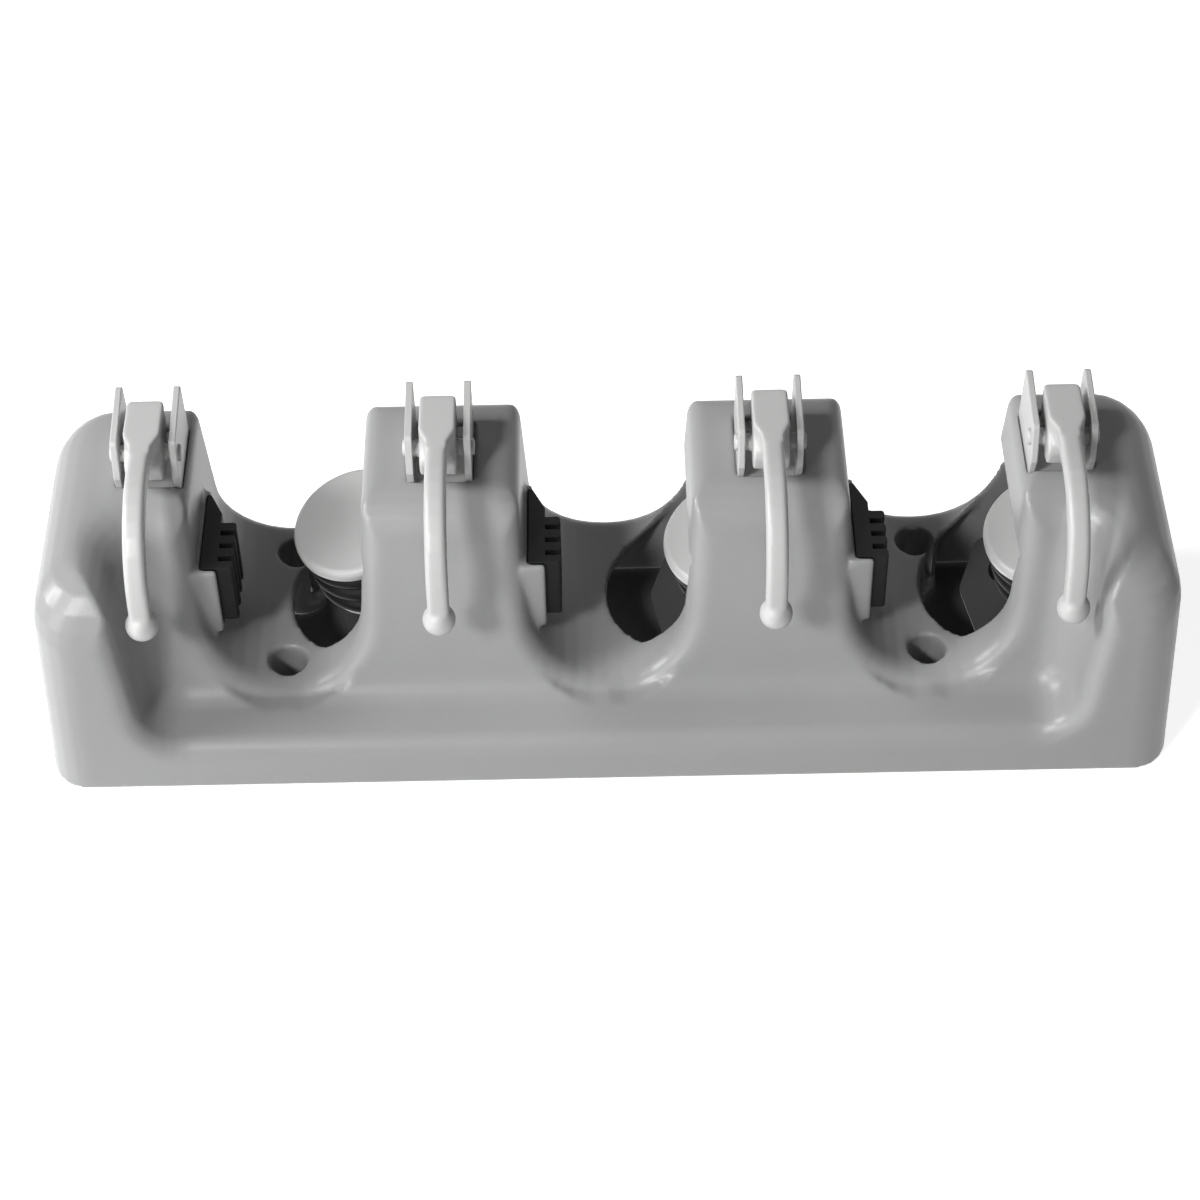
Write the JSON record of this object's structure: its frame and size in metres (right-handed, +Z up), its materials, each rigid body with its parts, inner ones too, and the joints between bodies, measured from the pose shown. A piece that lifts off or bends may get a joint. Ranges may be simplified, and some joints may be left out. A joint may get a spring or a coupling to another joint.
{
  "type": "wall mop and broom holder",
  "caption": "Wall rack that grips mop and broom handles between sliding rubber-ringed rollers and ribbed pads, with flip-down hooks on its towers",
  "frame": {"origin": "middle of the wall-screw pattern, on the wall plane", "axes": "+X along the rack, +Y into the wall, +Z up as mounted; the towers point to -Y"},
  "size_m": [0.264, 0.0772, 0.0715],
  "materials": {
    "body_plastic": "satin mid-grey moulded plastic",
    "light_plastic": "satin light-grey moulded plastic",
    "rubber": "matt black rubber",
    "steel": "bright zinc-plated steel"
  },
  "bodies": {
    "rack": {"housing": "body_plastic", "grip_pad_1": "rubber", "grip_pad_2": "rubber", "grip_pad_3": "rubber", "hook_bracket_1": "light_plastic", "hook_bracket_2": "light_plastic", "hook_bracket_3": "light_plastic", "hook_bracket_4": "light_plastic", "track_plate_1": "body_plastic", "track_plate_2": "body_plastic", "track_plate_3": "body_plastic", "plate_screws": "steel"},
    "slider_1": {"track_shoe_1": "light_plastic", "roller_axle_1": "steel", "axle_clip_1": "steel"},
    "roller_1": {"roller_hub_1": "light_plastic", "roller_sleeve_1": "rubber", "roller_cap_1": "light_plastic"},
    "slider_2": {"track_shoe_2": "light_plastic", "roller_axle_2": "steel", "axle_clip_2": "steel"},
    "roller_2": {"roller_hub_2": "light_plastic", "roller_sleeve_2": "rubber", "roller_cap_2": "light_plastic"},
    "slider_3": {"track_shoe_3": "light_plastic", "roller_axle_3": "steel", "axle_clip_3": "steel"},
    "roller_3": {"roller_hub_3": "light_plastic", "roller_sleeve_3": "rubber", "roller_cap_3": "light_plastic"},
    "hook_1": {"hook_1": "light_plastic"},
    "hook_2": {"hook_2": "light_plastic"},
    "hook_3": {"hook_3": "light_plastic"},
    "hook_4": {"hook_4": "light_plastic"}
  },
  "joints": [
    {"name": "roller_track_1", "type": "slide", "parent": "rack", "child": "slider_1", "axis": [0.8366, 0.1111, -0.5364], "range_m": [-0.01474, 0.00046]},
    {"name": "roller_spin_1", "type": "hinge", "parent": "slider_1", "child": "roller_1", "pos_m": [0.05991, -0.03836, -0.00631], "axis": [0.2382, -0.9556, 0.1736], "continuous": true},
    {"name": "roller_track_2", "type": "slide", "parent": "rack", "child": "slider_2", "axis": [0.8366, 0.1111, -0.5364], "range_m": [0, 0.0152]},
    {"name": "roller_spin_2", "type": "hinge", "parent": "slider_2", "child": "roller_2", "pos_m": [-0.02842, -0.04, 0.0016], "axis": [0.2382, -0.9556, 0.1736], "continuous": true},
    {"name": "roller_track_3", "type": "slide", "parent": "rack", "child": "slider_3", "axis": [0.8366, 0.1111, -0.5364], "range_m": [0, 0.0152]},
    {"name": "roller_spin_3", "type": "hinge", "parent": "slider_3", "child": "roller_3", "pos_m": [-0.10442, -0.04, 0.0016], "axis": [0.2382, -0.9556, 0.1736], "continuous": true},
    {"name": "hook_pivot_1", "type": "hinge", "parent": "rack", "child": "hook_1", "pos_m": [0.105, -0.069, 0.0016], "axis": [1, 0, 0], "range_deg": [0, 90]},
    {"name": "hook_pivot_2", "type": "hinge", "parent": "rack", "child": "hook_2", "pos_m": [0.038, -0.069, 0.0016], "axis": [1, 0, 0], "range_deg": [0, 90]},
    {"name": "hook_pivot_3", "type": "hinge", "parent": "rack", "child": "hook_3", "pos_m": [-0.038, -0.069, 0.0016], "axis": [1, 0, 0], "range_deg": [0, 90]},
    {"name": "hook_pivot_4", "type": "hinge", "parent": "rack", "child": "hook_4", "pos_m": [-0.105, -0.069, 0.0016], "axis": [1, 0, 0], "range_deg": [0, 90]}
  ]
}
